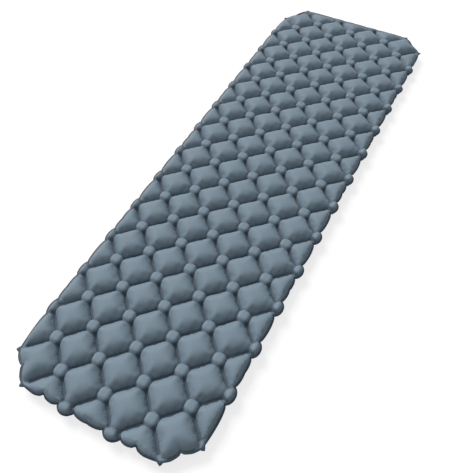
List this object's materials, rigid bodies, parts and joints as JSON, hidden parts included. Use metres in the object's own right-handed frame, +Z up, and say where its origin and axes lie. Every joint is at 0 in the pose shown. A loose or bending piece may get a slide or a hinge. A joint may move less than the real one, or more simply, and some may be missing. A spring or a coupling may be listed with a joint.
{
  "type": "inflatable sleeping pad",
  "caption": "Long, slightly tapered quilted air mattress of two welded sheets with puffy diamond cells and small crossings, and a two-lid air valve let into the underside at the head end.",
  "frame": {"origin": "on the ground under the middle of the pad", "axes": "+X across the width, +Y along the length towards the head end with the valve, +Z up"},
  "size_m": [0.6108, 1.9, 0.055],
  "materials": {
    "sheet_top": "matt coated woven fabric, slate blue-grey",
    "sheet_bottom": "matt coated woven fabric, slate blue-grey",
    "patch": "satin soft plastic, charcoal",
    "valve": "fine-grained moulded plastic, graphite",
    "lids": "fine-grained moulded plastic, graphite",
    "pins": "drawn stainless wire",
    "seals": "translucent grey silicone"
  },
  "bodies": {
    "pad": {"top_sheet": "sheet_top", "bottom_sheet": "sheet_bottom", "valve_patch": "patch", "valve_base": "valve", "lid_pin": "pins"},
    "lid": {"deflate_lid": "lids", "lid_seal": "seals", "cap_pin": "pins"},
    "flap": {"check_flap": "seals"},
    "cap": {"inflate_cap": "lids", "cap_seal": "seals"}
  },
  "joints": [
    {"name": "lid_hinge", "type": "hinge", "parent": "pad", "child": "lid", "pos_m": [0, 0.77864, 0.009], "axis": [-1, 0, 0], "range_deg": [0, 150]},
    {"name": "cap_hinge", "type": "hinge", "parent": "lid", "child": "cap", "pos_m": [0, 0.81764, 0.0034], "axis": [1, 0, 0], "range_deg": [0, 160]},
    {"name": "flap_lift", "type": "slide", "parent": "lid", "child": "flap", "axis": [0, 0, 1], "range_m": [0, 0.0015]}
  ]
}
